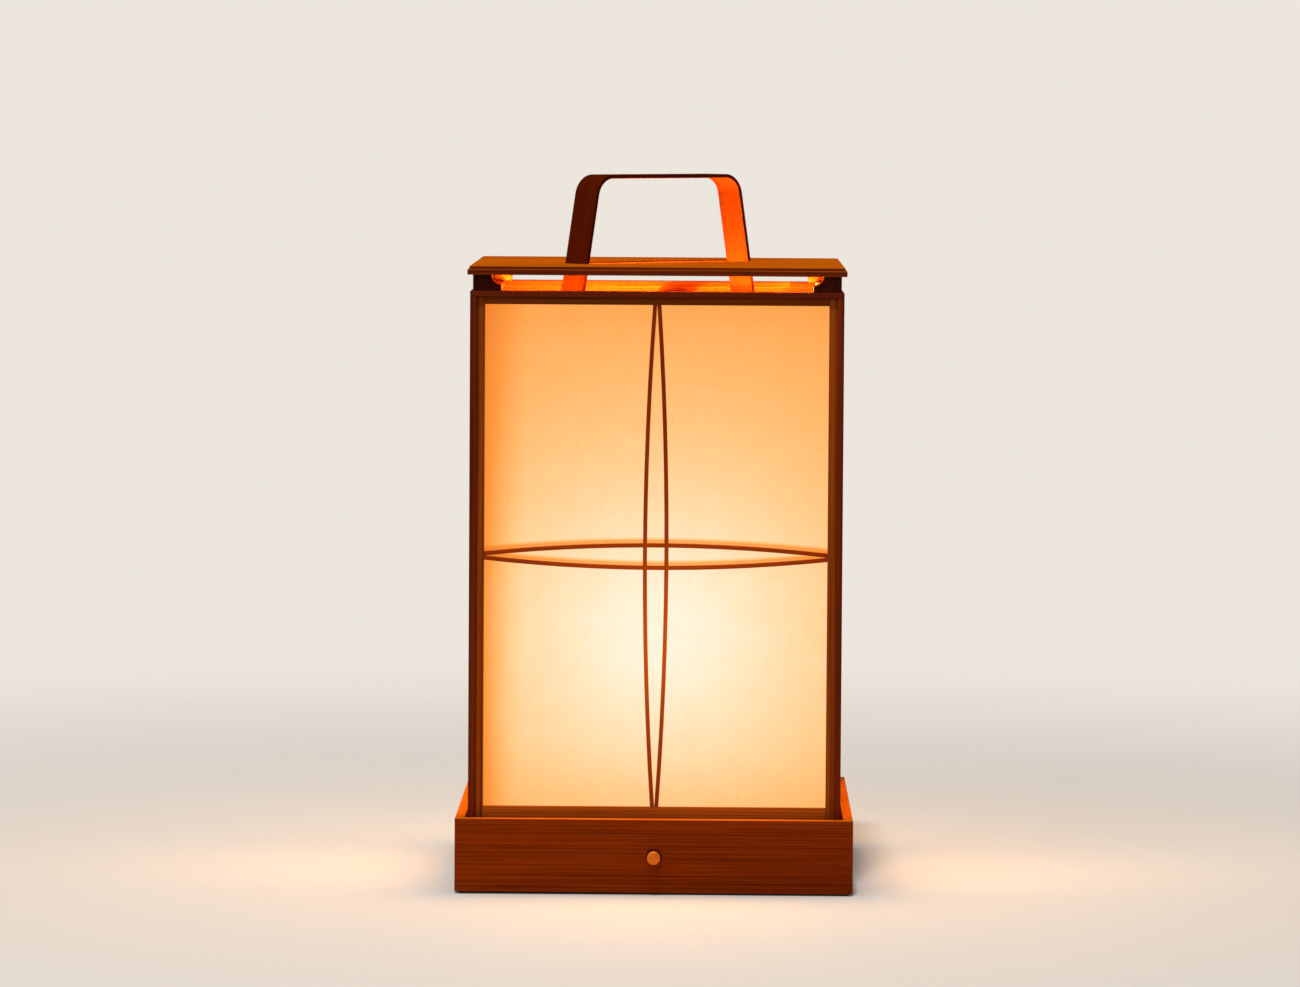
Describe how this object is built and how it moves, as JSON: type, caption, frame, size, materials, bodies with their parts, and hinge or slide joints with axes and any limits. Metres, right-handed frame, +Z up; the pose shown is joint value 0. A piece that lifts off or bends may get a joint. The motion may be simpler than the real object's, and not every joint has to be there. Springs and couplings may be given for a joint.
{
  "type": "andon floor lamp",
  "caption": "Square paper-sided andon lamp: washi shade with bowed lattice and bent carrying handle, lifting out of a wooden tray base with a push-and-turn dimmer knob.",
  "frame": {"origin": "on the floor, under the middle of the square tray, at the underside of its felt", "axes": "+Z up, front with the knob towards -Y, +X to the right seen from the front; the handle runs on the diagonal from front left to back right"},
  "size_m": [0.3, 0.314, 0.54],
  "materials": {
    "cedar": "oiled red cedar, straight fine grain, planed",
    "bentwood": "steam-bent strip, oiled, grain along the strip",
    "kumiko": "thin planed strips, unfinished edges",
    "plywood": "plain sanded board",
    "pine": "rough-sawn softwood",
    "washi": "translucent mulberry paper with loose fibres, lit from inside",
    "felt": "pressed wool felt",
    "brass": "satin turned brass",
    "steel": "zinc plated",
    "nickel": "nickel plated sheet",
    "porcelain": "white glaze",
    "opal_glass": "opal white, lit",
    "collar_white": "moulded white housing",
    "black_plastic": "moulded black nylon",
    "rubber": "soft black rubber",
    "lead_sheath": "pale brown sheath"
  },
  "bodies": {
    "tray": {"bulb_cap": "nickel", "bulb_collar": "collar_white", "bulb_globe": "opal_glass", "cord_grommet": "rubber", "dimmer_bracket": "steel", "dimmer_housing": "black_plastic", "dimmer_nut": "steel", "dimmer_spring": "steel", "holder_contacts": "nickel", "holder_nuts": "steel", "holder_stem": "steel", "lamp_holder": "porcelain", "lead_lamp": "lead_sheath", "lead_supply": "lead_sheath", "terminal_block": "black_plastic", "tray_back": "cedar", "tray_deck": "plywood", "tray_felt": "felt", "tray_floor": "plywood", "tray_front": "cedar", "tray_glue_blocks": "pine", "tray_left": "cedar", "tray_right": "cedar", "tray_screws": "steel"},
    "shade": {"bead_back_left": "cedar", "bead_back_right": "cedar", "bead_front_left": "cedar", "bead_front_right": "cedar", "lattice_back": "kumiko", "lattice_front": "kumiko", "lattice_left": "kumiko", "lattice_right": "kumiko", "paper_back": "washi", "paper_front": "washi", "paper_left": "washi", "paper_right": "washi", "rails_back": "cedar", "rails_front": "cedar", "rails_left": "cedar", "rails_right": "cedar", "stiles_back": "cedar", "stiles_front": "cedar", "stiles_left": "cedar", "stiles_right": "cedar", "top_ring_back": "cedar", "top_ring_front": "cedar", "top_ring_left": "cedar", "top_ring_right": "cedar", "bottom_ring": "cedar", "vent_blocks": "cedar", "lid": "cedar", "handle": "bentwood", "handle_brace_front": "cedar", "handle_brace_back": "cedar", "handle_pegs": "pine", "brace_screws": "steel"},
    "switch": {"switch_carriage": "black_plastic"},
    "knob": {"dimmer_shaft": "steel", "dimmer_knob": "brass", "knob_grub_screw": "steel"}
  },
  "joints": [
    {"name": "shade_lift", "type": "slide", "parent": "tray", "child": "shade", "axis": [0, 0, 1], "range_m": [0, 0.2]},
    {"name": "knob_push", "type": "slide", "parent": "tray", "child": "switch", "axis": [0, 1, 0], "range_m": [0, 0.0015], "stiffness_N_per_m": 800, "springref_m": -0.002, "deforming": ["dimmer_spring"]},
    {"name": "knob_turn", "type": "hinge", "parent": "switch", "child": "knob", "pos_m": [0, -0.1415, 0.029], "axis": [0, 1, 0], "range_deg": [0, 270]}
  ]
}
